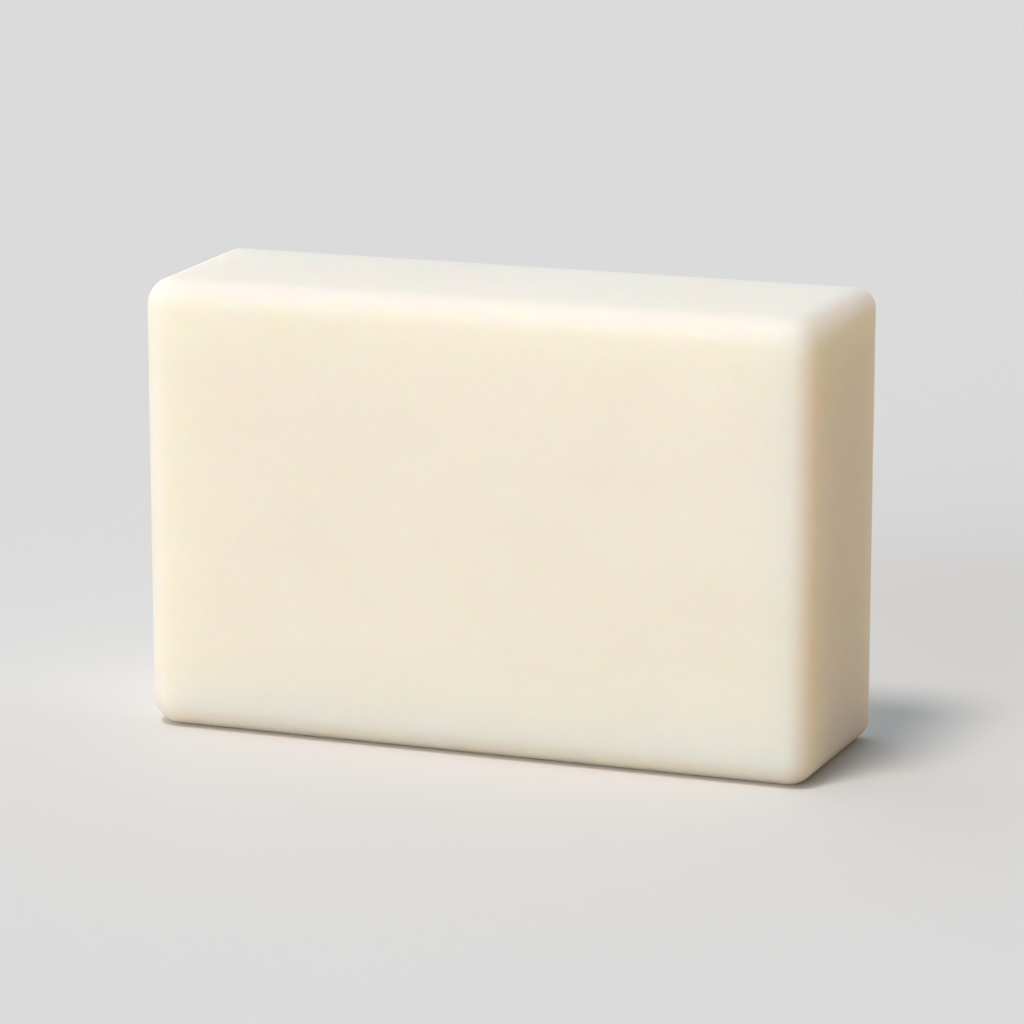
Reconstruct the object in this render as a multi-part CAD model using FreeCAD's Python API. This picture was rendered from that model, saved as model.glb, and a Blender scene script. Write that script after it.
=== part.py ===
import FreeCAD, Part
import os

# A bar of soap, one solid block cast in an open mould and stood on its long side.
#
# Frame: the origin is at the middle of the face that the bar stands on, X runs along
# its length, the broad front face looks towards -Y and Z points up. Sizes are in mm.

# Block
LENGTH = 90.0
HEIGHT = 59.0
THICKNESS = 28.0

# Rounding. The front lay against the mould's rounded floor, and the back was at its
# open side, so the edges round the back are tighter.
FRONT_EDGE_RADIUS = 3.2
BACK_EDGE_RADIUS = 2.0

# How much wider the outline turns at its four corners than the edges that run round it
CORNER_EASE = 0.6

# How far from a plane an edge may lie and still count as in it
TOLERANCE = 0.001

# Places worked out from the sizes
FRONT = -THICKNESS / 2
BACK = THICKNESS / 2
FRONT_CORNER_RADIUS = FRONT_EDGE_RADIUS + CORNER_EASE
BACK_CORNER_RADIUS = BACK_EDGE_RADIUS + CORNER_EASE


def edges_round(shape, y):
    """The edges that run round the flat face at this place along Y."""
    return [
        edge
        for edge in shape.Edges
        if abs(edge.BoundBox.YMin - y) < TOLERANCE and abs(edge.BoundBox.YMax - y) < TOLERANCE
    ]


def edges_through(shape):
    """The edges that run straight from the front face to the back face."""
    return [edge for edge in shape.Edges if edge.BoundBox.YLength > THICKNESS - TOLERANCE]


def soap_bar():
    """The whole bar, standing on its base."""
    block = Part.makeBox(LENGTH, THICKNESS, HEIGHT, FreeCAD.Vector(-LENGTH / 2, FRONT, 0))

    # The four corners of the outline tighten evenly from the front to the back. These
    # edges of the block run along +Y, so the first of the two radii is the front one.
    corners = edges_through(block)
    bar = block.makeFillet(FRONT_CORNER_RADIUS, BACK_CORNER_RADIUS, corners)

    # The edges then run round each broad face in one closed chain, corners included.
    bar = bar.makeFillet(FRONT_EDGE_RADIUS, edges_round(bar, FRONT))
    bar = bar.makeFillet(BACK_EDGE_RADIUS, edges_round(bar, BACK))
    return bar.Solids[0]


os.makedirs("parts", exist_ok=True)
soap_bar().exportStep("parts/soap_bar.step")
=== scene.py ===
import math

import bpy
from bpy.props import FloatProperty, FloatVectorProperty, IntProperty, PointerProperty
from mathutils import Matrix, Vector


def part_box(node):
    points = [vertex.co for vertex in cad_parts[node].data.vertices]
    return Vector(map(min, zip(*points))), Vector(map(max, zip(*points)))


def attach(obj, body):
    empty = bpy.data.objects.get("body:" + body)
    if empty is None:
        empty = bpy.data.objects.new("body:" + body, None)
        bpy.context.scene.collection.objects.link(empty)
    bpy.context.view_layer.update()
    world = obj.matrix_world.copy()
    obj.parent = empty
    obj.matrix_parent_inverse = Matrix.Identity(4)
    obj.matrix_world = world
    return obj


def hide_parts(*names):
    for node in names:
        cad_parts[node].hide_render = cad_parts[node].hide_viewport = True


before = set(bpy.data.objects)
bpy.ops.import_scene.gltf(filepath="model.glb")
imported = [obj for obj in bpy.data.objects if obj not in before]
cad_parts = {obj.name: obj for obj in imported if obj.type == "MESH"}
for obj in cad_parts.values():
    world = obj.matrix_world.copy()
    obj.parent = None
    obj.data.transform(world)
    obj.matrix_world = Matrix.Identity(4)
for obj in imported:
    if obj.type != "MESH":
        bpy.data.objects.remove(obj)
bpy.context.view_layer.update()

bl_info = {
    "name": "Bar of Soap",
    "version": (1, 0, 0),
    "blender": (4, 5, 0),
    "location": "3D View > Sidebar > Soap",
    "description": "Moulds a bar of soap round its measured block and lights it in a plain studio",
    "category": "Object",
}

# The measured block, in metres: its whole box and its own corners
LOW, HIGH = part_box("soap_bar")
BLOCK = HIGH - LOW
MIDDLE = (LOW + HIGH) / 2
MILLIMETRE = 0.001


# Settings


class SoapBarSettings(bpy.types.PropertyGroup):
    """Sizes and finish of the bar."""

    front_edge: FloatProperty(
        name="Front Edge Radius",
        description="Rounding of the edges round the broad front face",
        default=3.2 * MILLIMETRE,
        subtype="DISTANCE",
    )
    back_edge: FloatProperty(
        name="Back Edge Radius",
        description="Rounding of the edges round the back face",
        default=2.0 * MILLIMETRE,
        subtype="DISTANCE",
    )
    corner_ease: FloatProperty(
        name="Corner Ease",
        description="How much wider the outline's corners turn than its edges",
        default=0.6 * MILLIMETRE,
        subtype="DISTANCE",
    )
    facet: FloatProperty(
        name="Facet Size",
        description="Length of the mesh's facets on the flat faces",
        default=1.0 * MILLIMETRE,
        subtype="DISTANCE",
    )
    edge_steps: IntProperty(
        name="Edge Steps",
        description="Facets across each half of a rounded edge",
        default=8,
    )
    hollow: FloatProperty(
        name="Unevenness Depth",
        description="Depth of the faint hollows that the soap keeps from its mould",
        default=0.05 * MILLIMETRE,
        subtype="DISTANCE",
    )
    hollow_size: FloatProperty(
        name="Unevenness Size",
        description="Distance from one faint hollow to the next",
        default=14.0 * MILLIMETRE,
        subtype="DISTANCE",
    )
    seed: IntProperty(
        name="Seed",
        description="Chooses where the hollows and clouds lie",
        default=7,
    )
    ivory: FloatVectorProperty(
        name="Soap Colour",
        description="The soap's own colour",
        default=(0.873, 0.872, 0.8),
        subtype="COLOR",
    )
    # The edge colour is a painted highlight: paler, whiter soap along the rounded edges where the
    # light catches them
    highlight_ivory: FloatVectorProperty(
        name="Edge Colour",
        description="The soap's colour where its edges have dried and bloomed a little",
        default=(0.925, 0.852, 0.78),
        subtype="COLOR",
    )
    # Width over which the painted highlight fades in from the edges
    highlight_width: FloatProperty(
        name="Dry Edge Width",
        description="How far in from an edge the drier colour has faded away",
        default=4.6 * MILLIMETRE,
        subtype="DISTANCE",
    )
    depth: FloatProperty(
        name="Translucency",
        description="How far red light wanders inside the soap",
        default=16.0 * MILLIMETRE,
        subtype="DISTANCE",
    )
    roughness: FloatProperty(
        name="Roughness",
        description="How dull the soap's skin is",
        default=0.55,
        subtype="FACTOR",
    )


class SoapStageSettings(bpy.types.PropertyGroup):
    """The floor, the light and the camera."""

    floor_colour: FloatVectorProperty(
        name="Floor Colour",
        description="Colour of the plain floor",
        default=(0.791, 0.808, 0.811),
        subtype="COLOR",
    )
    backdrop: FloatVectorProperty(
        name="Backdrop Colour",
        description="What shows beyond the floor and in gloss",
        default=(0.708, 0.708, 0.708),
        subtype="COLOR",
    )
    bounce: FloatVectorProperty(
        name="Floor Bounce",
        description="Colour of the light that the floor throws back on the bar",
        default=(0.78, 0.588, 0.37),
        subtype="COLOR",
    )
    high_colour: FloatVectorProperty(
        name="High Lamp Colour",
        description="Colour of the high lamp, a little warmer than the rest",
        default=(1.0, 0.868, 0.805),
        subtype="COLOR",
    )
    light_colour: FloatVectorProperty(
        name="Light Colour",
        description="Colour of all the other light, a slightly cool daylight",
        default=(0.875, 0.95, 1.0),
        subtype="COLOR",
    )
    sky: FloatProperty(
        name="Ambient Level",
        description="Brightness of the even light from all round",
        default=0.1,
    )
    high: FloatProperty(
        name="High Lamp Level",
        description="Light that the high lamp gives a surface facing it",
        default=0.475,
    )
    front: FloatProperty(
        name="Front Lamp Level",
        description="Light that the low front lamp gives a surface facing it",
        default=0.736,
    )
    side: FloatProperty(
        name="Side Lamp Level",
        description="Light that the broad left lamp gives a surface facing it",
        default=0.295,
    )
    back: FloatProperty(
        name="Back Lamp Level",
        description="Light that the broad lamp at the back gives a surface facing it",
        default=0.309,
    )
    azimuth: FloatProperty(
        name="Camera Azimuth",
        description="Turn of the camera round the bar from straight in front",
        default=math.radians(20.537),
        subtype="ANGLE",
    )
    elevation: FloatProperty(
        name="Camera Elevation",
        description="Height of the camera above level",
        default=math.radians(12.817),
        subtype="ANGLE",
    )
    distance: FloatProperty(
        name="Camera Distance",
        description="Distance from the camera to the middle of the bar",
        default=589.26 * MILLIMETRE,
        subtype="DISTANCE",
    )
    lens: FloatProperty(
        name="Focal Length",
        description="Focal length of the lens on a 36 mm wide sensor",
        default=161.45,
        subtype="DISTANCE_CAMERA",
    )
    aside: FloatProperty(
        name="Camera Step Right",
        description="How far the camera stands to the right of facing the bar's middle",
        default=0.543 * MILLIMETRE,
        subtype="DISTANCE",
    )
    above: FloatProperty(
        name="Camera Step Up",
        description="How far the camera stands above facing the bar's middle",
        default=-0.394 * MILLIMETRE,
        subtype="DISTANCE",
    )


# Node trees, wired by plain expressions


class Signal:
    """One output of a tree, on which a sum adds the node that works it out."""

    def __init__(self, wiring, socket):
        self.wiring = wiring
        self.socket = socket

    def sum(self, operation, *terms):
        """Works on vectors where one of the terms is a vector, and else on numbers."""
        vector = any(isinstance(t, Signal) and t.socket.type == "VECTOR" for t in terms)
        kind = "ShaderNodeVectorMath" if vector else "ShaderNodeMath"
        return self.wiring.add(kind, dict(enumerate(terms)), operation=operation)

    def __add__(self, other):
        return self.sum("ADD", self, other)

    def __radd__(self, other):
        return self.sum("ADD", other, self)

    def __sub__(self, other):
        return self.sum("SUBTRACT", self, other)

    def __rsub__(self, other):
        return self.sum("SUBTRACT", other, self)

    def __mul__(self, other):
        return self.sum("MULTIPLY", self, other)

    def __rmul__(self, other):
        return self.sum("MULTIPLY", other, self)

    def __truediv__(self, other):
        return self.sum("DIVIDE", self, other)

    def __rtruediv__(self, other):
        return self.sum("DIVIDE", other, self)


class Wiring:
    """A node tree that is being built."""

    def __init__(self, tree):
        self.tree = tree
        tree.nodes.clear()

    def add(self, kind, sockets=None, output=0, **settings):
        """Adds a node, set first and then fed by links or values, and gives one of its
        outputs, where it has any."""
        node = self.tree.nodes.new(kind)
        for name, value in settings.items():
            setattr(node, name, value)
        for name, value in (sockets or {}).items():
            socket = node.inputs[name]
            if isinstance(value, Signal):
                self.tree.links.new(value.socket, socket)
            else:
                socket.default_value = value
        return Signal(self, node.outputs[output]) if node.outputs else None

    def maths(self, operation, *terms):
        """A sum that has no sign to write it with, such as a tangent or the larger of two."""
        return self.add("ShaderNodeMath", dict(enumerate(terms)), operation=operation)

    def vector(self, x, y, z):
        """Three numbers as one place or direction."""
        return self.add("ShaderNodeCombineXYZ", {0: x, 1: y, 2: z})

    def parts(self, vector):
        """A place's three numbers, along X, Y and Z."""
        split = self.add("ShaderNodeSeparateXYZ", {0: vector})
        return [Signal(self, socket) for socket in split.socket.node.outputs]

    def blend(self, share, first, second):
        """The first colour where the share is 0 and the second where it is 1."""
        # A Mix node takes its colours by sockets 6 and 7 and gives its own by output 2
        sockets = {0: share, 6: first, 7: second}
        return self.add("ShaderNodeMix", sockets, output=2, data_type="RGBA")

    def shown(self):
        """1 for what is seen by the camera, in gloss or through a clear thing, and 0 for
        light on its way to a surface."""
        rays = self.add("ShaderNodeLightPath").socket.node.outputs
        kinds = ("Is Camera Ray", "Is Glossy Ray", "Is Transmission Ray")
        camera, gloss, clear = (Signal(self, rays[kind]) for kind in kinds)
        return self.maths("MINIMUM", camera + gloss + clear, 1.0)

    def noise(self, place, size, seed, detail=2.0):
        """Smooth noise from 0 to 1, whose lumps are about this size."""
        sockets = {"Vector": place, "W": seed, "Scale": 1 / size, "Detail": detail}
        return self.add("ShaderNodeTexNoise", sockets, noise_dimensions="4D")


# The bar

# Each half of a rounded edge turns through this much
HALF_EDGE_TURN = math.radians(45)

# Keeps a division clear of zero
TINY = 1e-9


def bar_tree():
    """The rule of the bar's shape: a block whose edges are rounded by one radius at the
    front and by another at the back, with the outline's corners turning a little wider."""
    tree = bpy.data.node_groups.new("Moulded Bar", "GeometryNodeTree")
    wiring = Wiring(tree)
    tree.interface.new_socket("Geometry", in_out="OUTPUT", socket_type="NodeSocketGeometry")
    for name, kind in (
        ("Length", "NodeSocketFloat"),
        ("Height", "NodeSocketFloat"),
        ("Thickness", "NodeSocketFloat"),
        ("Front Edge Radius", "NodeSocketFloat"),
        ("Back Edge Radius", "NodeSocketFloat"),
        ("Corner Ease", "NodeSocketFloat"),
        ("Edge Steps", "NodeSocketInt"),
        ("Steps Along", "NodeSocketInt"),
        ("Steps Through", "NodeSocketInt"),
        ("Steps Up", "NodeSocketInt"),
        ("Unevenness Depth", "NodeSocketFloat"),
        ("Unevenness Size", "NodeSocketFloat"),
        ("Seed", "NodeSocketInt"),
        ("Finish", "NodeSocketMaterial"),
    ):
        tree.interface.new_socket(name, in_out="INPUT", socket_type=kind)
    given = wiring.add("NodeGroupInput").socket.node
    value = {socket.name: Signal(wiring, socket) for socket in given.outputs if socket.name}

    # A cube from -1 to 1 carries the facets. Along each of its axes the outer steps are
    # the rounded edges' and the inner ones the flat's.
    counts = [value["Steps " + way] + 2.0 * value["Edge Steps"] for way in ("Along", "Through", "Up")]
    vertices = {"Vertices " + axis: count + 1.0 for axis, count in zip("XYZ", counts)}
    cube = wiring.add("GeometryNodeMeshCube", {"Size": (2.0, 2.0, 2.0)} | vertices)
    place = wiring.parts(wiring.add("GeometryNodeInputPosition"))
    flats, turns, signs = [], [], []
    for unit, count in zip(place, counts):
        edge = 2.0 * value["Edge Steps"] / count
        reach = wiring.maths("ABSOLUTE", unit)
        flats.append(wiring.maths("MINIMUM", reach / (1.0 - edge), 1.0))
        turn = wiring.maths("MAXIMUM", (reach - (1.0 - edge)) / edge, 0.0)
        turns.append(wiring.maths("TANGENT", turn * HALF_EDGE_TURN))
        signs.append(wiring.maths("SIGN", unit))

    # Through the thickness, where the share is 0 at the front face and 1 at the back
    in_front = wiring.maths("LESS_THAN", place[1], 0.0)
    front, back, ease = (value[n] for n in ("Front Edge Radius", "Back Edge Radius", "Corner Ease"))
    radius = back + (front - back) * in_front
    core_y = signs[1] * flats[1] * (value["Thickness"] / 2.0 - radius)
    out_y = signs[1] * turns[1] * radius
    share = (core_y + out_y) / value["Thickness"] + 0.5
    corner = front + ease + (back - front) * share

    # Along the outline, where the corner's own middle is the nearest point of the core
    core_x = signs[0] * flats[0] * (value["Length"] / 2.0 - corner)
    core_z = signs[2] * flats[2] * (value["Height"] / 2.0 - corner)
    out_x = signs[0] * turns[0] * corner
    out_z = signs[2] * turns[2] * corner
    spread = wiring.maths("MAXIMUM", wiring.maths("SQRT", out_x * out_x + out_z * out_z), TINY)
    inside = wiring.maths("MINIMUM", (corner - radius) / spread, 1.0)
    core = wiring.vector(core_x + out_x * inside, core_y, core_z + out_z * inside)
    away = wiring.vector(out_x * (1.0 - inside), out_y, out_z * (1.0 - inside))
    outward = wiring.add("ShaderNodeVectorMath", {0: away}, operation="NORMALIZE")

    # Faint hollows, only ever inwards, so that the bar keeps its measured size
    lumps = wiring.noise(core + outward * radius, value["Unevenness Size"], value["Seed"], detail=1.0)
    skin = radius - lumps * value["Unevenness Depth"]
    middle = wiring.vector(0.0, 0.0, value["Height"] / 2.0)
    place_on_skin = core + outward * skin + middle
    moved = wiring.add("GeometryNodeSetPosition", {"Geometry": cube, "Position": place_on_skin})
    smooth = wiring.add("GeometryNodeSetShadeSmooth", {"Geometry": moved})
    whole = wiring.add("GeometryNodeRealizeInstances", {"Geometry": smooth})
    finished = wiring.add("GeometryNodeSetMaterial", {"Geometry": whole, "Material": value["Finish"]})
    wiring.add("NodeGroupOutput", {"Geometry": finished})
    return tree


def made_by(tree, name, inputs):
    """A plain mesh object made by a tree from these named inputs."""
    piece = bpy.data.objects.new(name, bpy.data.meshes.new(name))
    maker = piece.modifiers.new(tree.name, "NODES")
    maker.node_group = tree
    identifiers = {
        item.name: item.identifier for item in tree.interface.items_tree if item.in_out == "INPUT"
    }
    for label, value in inputs.items():
        maker[identifiers[label]] = value
    bpy.context.scene.collection.objects.link(piece)
    graph = bpy.context.evaluated_depsgraph_get()
    mesh = bpy.data.meshes.new_from_object(piece.evaluated_get(graph), depsgraph=graph)
    piece.modifiers.remove(maker)
    piece.data = mesh
    mesh.name = name
    return piece


# The marks in the soap: how far one is from the next, and how much each tells
CLOUD_SIZE = 22 * MILLIMETRE
CLOUD_TONE = 0.9
MOTTLE_SIZE = 3.5 * MILLIMETRE
MOTTLE_TONE = 0.35
STREAK_SIZE = 5 * MILLIMETRE
STREAK_TONE = 0.45

# The streaks are drawn out along the bar and a little through it, and the turn only
# settles where they fall
STREAK_SQUEEZE = (0.16, 0.6, 1.0)
STREAK_TURN = math.radians(38)

# The red, green and blue of the clouds' deepest and palest parts, as shares of the colour
DEEPEST = (0.965, 0.955, 0.93)
PALEST = (1.02, 1.025, 1.045)

# The skin: patches of duller and shinier soap, small dimples and a fine grain
PATCH_SIZE = 9 * MILLIMETRE
PATCH_DULLNESS = 0.12
MOTTLE_DULLNESS = 0.05
DIMPLE_SIZE = 2.2 * MILLIMETRE
GRAIN_SIZE = 0.35 * MILLIMETRE
GRAIN_HEIGHT = 0.25
RELIEF_DEPTH = 0.05 * MILLIMETRE
RELIEF_STRENGTH = 0.12


def shades(colour):
    """The deepest and the palest shade of a colour in the soap's clouds."""
    deep = [channel * share for channel, share in zip(colour, DEEPEST)]
    pale = [min(channel * share, 1.0) for channel, share in zip(colour, PALEST)]
    return (*deep, 1.0), (*pale, 1.0)


def soap_finish(settings):
    """Ivory toilet soap: milky clouds, faint streaks from the pour, a satin skin and a painted
    highlight along its rounded edges.
    """
    material = bpy.data.materials.new("ivory_soap")
    material.use_nodes = True
    wiring = Wiring(material.node_tree)
    place = wiring.add("ShaderNodeTexCoord", output="Object")
    seed = float(settings.seed)

    clouds = wiring.noise(place, CLOUD_SIZE, seed, detail=3.0) - 0.5
    mottle = wiring.noise(place, MOTTLE_SIZE, seed + 1) - 0.5
    mapping = {"Vector": place, "Rotation": (0.0, STREAK_TURN, 0.0), "Scale": STREAK_SQUEEZE}
    drawn_out = wiring.add("ShaderNodeMapping", mapping)
    streaks = wiring.noise(drawn_out, STREAK_SIZE, seed + 2) - 0.5
    tone = 0.5 + clouds * CLOUD_TONE + mottle * MOTTLE_TONE + streaks * STREAK_TONE
    ivory = wiring.blend(tone, *shades(settings.ivory))
    # The painted highlight's colour, clouded like the rest of the soap
    painted_highlight = wiring.blend(tone, *shades(settings.highlight_ivory))

    # How far a place is from the nearest edge is the middle one of its depths below the
    # three pairs of faces, and the painted highlight on the edges fades with it
    along, through, up = wiring.parts(place)
    depths = [
        BLOCK.x / 2 - wiring.maths("ABSOLUTE", along),
        BLOCK.y / 2 - wiring.maths("ABSOLUTE", through),
        BLOCK.z / 2 - wiring.maths("ABSOLUTE", up - MIDDLE.z),
    ]
    pairs = [wiring.maths("MAXIMUM", depths[k], depths[k - 1]) for k in range(3)]
    inset = wiring.maths("MINIMUM", wiring.maths("MINIMUM", pairs[0], pairs[1]), pairs[2])
    highlight_share = wiring.add(
        "ShaderNodeMapRange",
        {"Value": inset, "From Min": settings.highlight_width, "From Max": 0.0},
        interpolation_type="SMOOTHSTEP",
    )
    # Paints the highlight: the paler, whiter colour is blended in along the rounded edges
    colour = wiring.blend(highlight_share, ivory, painted_highlight)

    patches = wiring.noise(place, PATCH_SIZE, seed + 3, detail=3.0) - 0.5
    dull = settings.roughness + patches * PATCH_DULLNESS + mottle * MOTTLE_DULLNESS
    grain = wiring.noise(place, GRAIN_SIZE, seed + 4)
    dimples = wiring.noise(place, DIMPLE_SIZE, seed + 5, detail=1.0)
    height = grain * GRAIN_HEIGHT + dimples
    relief = wiring.add(
        "ShaderNodeBump",
        {"Height": height, "Strength": RELIEF_STRENGTH, "Distance": RELIEF_DEPTH},
    )
    shader = wiring.add(
        "ShaderNodeBsdfPrincipled",
        {
            "Base Color": colour,
            "Roughness": dull,
            "Normal": relief,
            "IOR": 1.46,
            "Specular IOR Level": 0.4,
            "Subsurface Weight": 1.0,
            "Subsurface Radius": (1.0, 0.6, 0.3),
            "Subsurface Scale": settings.depth,
        },
    )
    wiring.add("ShaderNodeOutputMaterial", {"Surface": shader})
    return material


class SOAP_OT_mould_bar(bpy.types.Operator):
    """Moulds the bar of soap into its measured block"""

    bl_idname = "soap.mould_bar"
    bl_label = "Mould the Bar"

    def execute(self, context):
        settings = context.scene.soap_bar
        corner = settings.front_edge + settings.corner_ease
        flats = [
            BLOCK.x - 2 * corner,
            BLOCK.y - settings.front_edge - settings.back_edge,
            BLOCK.z - 2 * corner,
        ]
        if min(flats) <= 0:
            raise ValueError("the edges are rounded more than the block is thick")
        steps = [max(1, round(flat / settings.facet)) for flat in flats]
        bar = made_by(
            bar_tree(),
            "moulded_soap",
            {
                "Length": BLOCK.x,
                "Height": BLOCK.z,
                "Thickness": BLOCK.y,
                "Front Edge Radius": settings.front_edge,
                "Back Edge Radius": settings.back_edge,
                "Corner Ease": settings.corner_ease,
                "Edge Steps": settings.edge_steps,
                "Steps Along": steps[0],
                "Steps Through": steps[1],
                "Steps Up": steps[2],
                "Unevenness Depth": settings.hollow,
                "Unevenness Size": settings.hollow_size,
                "Seed": settings.seed,
                "Finish": soap_finish(settings),
            },
        )
        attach(bar, "root")
        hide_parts("soap_bar")
        return {"FINISHED"}


# The stage

FLOOR_RADIUS = 4.0
FLOOR_SIDES = 96

# Where the lamps stand: the turn from straight in front towards the left, the height
# above level and how wide the lamp looks from the bar
HIGH_LAMP = [math.radians(angle) for angle in (22, 69.4, 15)]
FRONT_LAMP = [math.radians(angle) for angle in (23, 6, 48)]
SIDE_LAMP = [math.radians(angle) for angle in (90, 20, 100)]
BACK_LAMP = [math.radians(angle) for angle in (180, 35, 100)]


def towards(turn, height):
    """The direction that lies this far round from -Y and this far above level."""
    level = math.cos(height)
    return Vector((math.sin(turn) * level, -math.cos(turn) * level, math.sin(height)))


def make_floor(colour, bounce):
    """A wide plain floor, whose bounce is warmer than its own colour."""
    rim = [
        (
            FLOOR_RADIUS * math.cos(2 * math.pi * k / FLOOR_SIDES),
            FLOOR_RADIUS * math.sin(2 * math.pi * k / FLOOR_SIDES),
            LOW.z,
        )
        for k in range(FLOOR_SIDES)
    ]
    mesh = bpy.data.meshes.new("floor")
    mesh.from_pydata(rim, [], [range(FLOOR_SIDES)])
    material = bpy.data.materials.new("plain_floor")
    material.use_nodes = True
    wiring = Wiring(material.node_tree)
    thrown = wiring.add("ShaderNodeBsdfDiffuse", {"Color": (*bounce, 1.0)})
    paint = wiring.add("ShaderNodeBsdfDiffuse", {"Color": (*colour, 1.0)})
    both = wiring.add("ShaderNodeMixShader", {0: wiring.shown(), 1: thrown, 2: paint})
    wiring.add("ShaderNodeOutputMaterial", {"Surface": both})
    mesh.materials.append(material)
    floor = bpy.data.objects.new("floor", mesh)
    bpy.context.scene.collection.objects.link(floor)


def make_lamp(name, turn, height, width, level, colour):
    """A soft lamp so far off that the whole floor is lit alike."""
    lamp = bpy.data.lights.new(name, "SUN")
    lamp.color = colour
    lamp.angle = width
    # A strength of pi lights a white surface that faces the lamp to 1
    lamp.energy = level * math.pi
    holder = bpy.data.objects.new(name, lamp)
    holder.rotation_mode = "QUATERNION"
    holder.rotation_quaternion = towards(-turn, height).to_track_quat("Z", "Y")
    bpy.context.scene.collection.objects.link(holder)


def make_sky(backdrop, colour, level):
    """Even light from all round, which the camera and gloss see as the backdrop."""
    world = bpy.data.worlds.new("studio")
    bpy.context.scene.world = world
    world.use_nodes = True
    wiring = Wiring(world.node_tree)
    light = wiring.add("ShaderNodeBackground", {"Color": (*colour, 1.0), "Strength": level})
    view = wiring.add("ShaderNodeBackground", {"Color": (*backdrop, 1.0), "Strength": 1.0})
    both = wiring.add("ShaderNodeMixShader", {0: wiring.shown(), 1: light, 2: view})
    wiring.add("ShaderNodeOutputWorld", {"Surface": both})


def make_camera(settings):
    """A long lens that faces the bar's middle, from a step aside of it."""
    back = towards(settings.azimuth, settings.elevation)
    right = Vector((math.cos(settings.azimuth), math.sin(settings.azimuth), 0.0))
    up = back.cross(right)
    place = MIDDLE + back * settings.distance + right * settings.aside + up * settings.above
    lens = bpy.data.cameras.new("camera")
    lens.lens = settings.lens
    lens.clip_start = settings.distance / 100
    lens.clip_end = FLOOR_RADIUS * 4
    camera = bpy.data.objects.new("camera", lens)
    camera.matrix_world = Matrix.Translation(place) @ Matrix((right, up, back)).transposed().to_4x4()
    bpy.context.scene.collection.objects.link(camera)
    bpy.context.scene.camera = camera


class SOAP_OT_set_stage(bpy.types.Operator):
    """Sets the plain floor, the soft light and the camera"""

    bl_idname = "soap.set_stage"
    bl_label = "Set the Stage"

    def execute(self, context):
        settings = context.scene.soap_stage
        make_floor(settings.floor_colour, settings.bounce)
        make_sky(settings.backdrop, settings.light_colour, settings.sky)
        make_lamp("high_lamp", *HIGH_LAMP, settings.high, settings.high_colour)
        make_lamp("front_lamp", *FRONT_LAMP, settings.front, settings.light_colour)
        make_lamp("side_lamp", *SIDE_LAMP, settings.side, settings.light_colour)
        make_lamp("back_lamp", *BACK_LAMP, settings.back, settings.light_colour)
        make_camera(settings)
        context.scene.view_settings.view_transform = "Standard"
        return {"FINISHED"}


class SOAP_PT_maker(bpy.types.Panel):
    """Lists the steps that make the bar and its stage"""

    bl_idname = "SOAP_PT_maker"
    bl_label = "Bar of Soap"
    bl_space_type = "VIEW_3D"
    bl_region_type = "UI"
    bl_category = "Soap"

    def draw(self, context):
        """Shows each step's settings above its button."""
        for settings, step in (
            (context.scene.soap_bar, SOAP_OT_mould_bar),
            (context.scene.soap_stage, SOAP_OT_set_stage),
        ):
            box = self.layout.box()
            for name in settings.__annotations__:
                box.prop(settings, name)
            box.operator(step.bl_idname)


CLASSES = (
    SoapBarSettings,
    SoapStageSettings,
    SOAP_OT_mould_bar,
    SOAP_OT_set_stage,
    SOAP_PT_maker,
)


def register():
    for each in CLASSES:
        bpy.utils.register_class(each)
    bpy.types.Scene.soap_bar = PointerProperty(type=SoapBarSettings)
    bpy.types.Scene.soap_stage = PointerProperty(type=SoapStageSettings)


def unregister():
    del bpy.types.Scene.soap_stage
    del bpy.types.Scene.soap_bar
    for each in reversed(CLASSES):
        bpy.utils.unregister_class(each)


def main():
    """Makes the bar and its stage."""
    register()
    bpy.ops.soap.mould_bar()
    bpy.ops.soap.set_stage()


if __name__ == "__main__":
    main()
